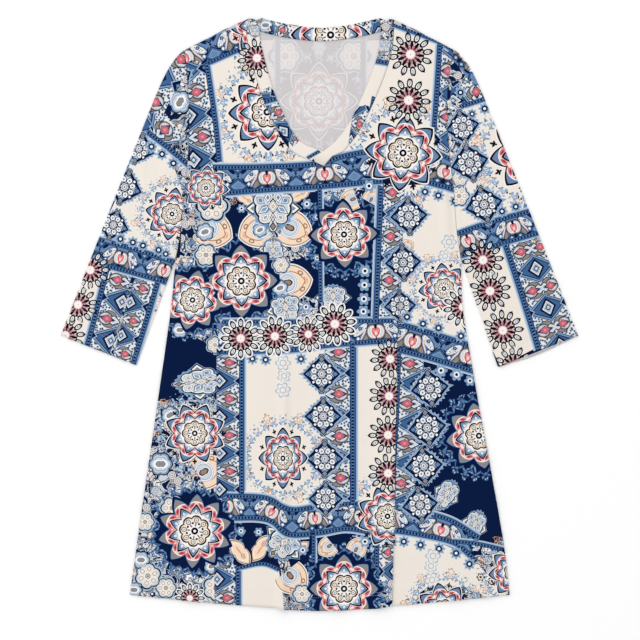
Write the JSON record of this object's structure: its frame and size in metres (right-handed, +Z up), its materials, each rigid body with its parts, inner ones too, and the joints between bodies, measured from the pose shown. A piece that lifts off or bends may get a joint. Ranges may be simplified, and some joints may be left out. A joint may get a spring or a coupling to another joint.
{
  "type": "tunic top",
  "caption": "Long flared jersey tunic laid flat, with three-quarter sleeves and a V neckband that crosses over at its tip.",
  "frame": {"origin": "middle of the bounding box's base: on the surface that the tunic lies on, below the middle of the garment", "axes": "+Y up the garment to the neck, +X across it to the right sleeve as it is looked at, +Z up off the surface"},
  "size_m": [0.7766, 0.8896, 0.0101],
  "materials": {
    "printed_jersey": "soft matt jersey, right side, printed patchwork of blue, cream and coral ornament",
    "back_jersey": "soft matt jersey, pale wrong side where it shows inside the neck",
    "neckband_jersey": "soft matt jersey folded double, same print"
  },
  "bodies": {
    "root": {"front_panel": "printed_jersey", "back_panel": "back_jersey", "sleeve_left": "printed_jersey", "sleeve_right": "printed_jersey", "neckband_front_left": "neckband_jersey", "neckband_front_right": "neckband_jersey", "neckband_back": "neckband_jersey"}
  },
  "joints": []
}
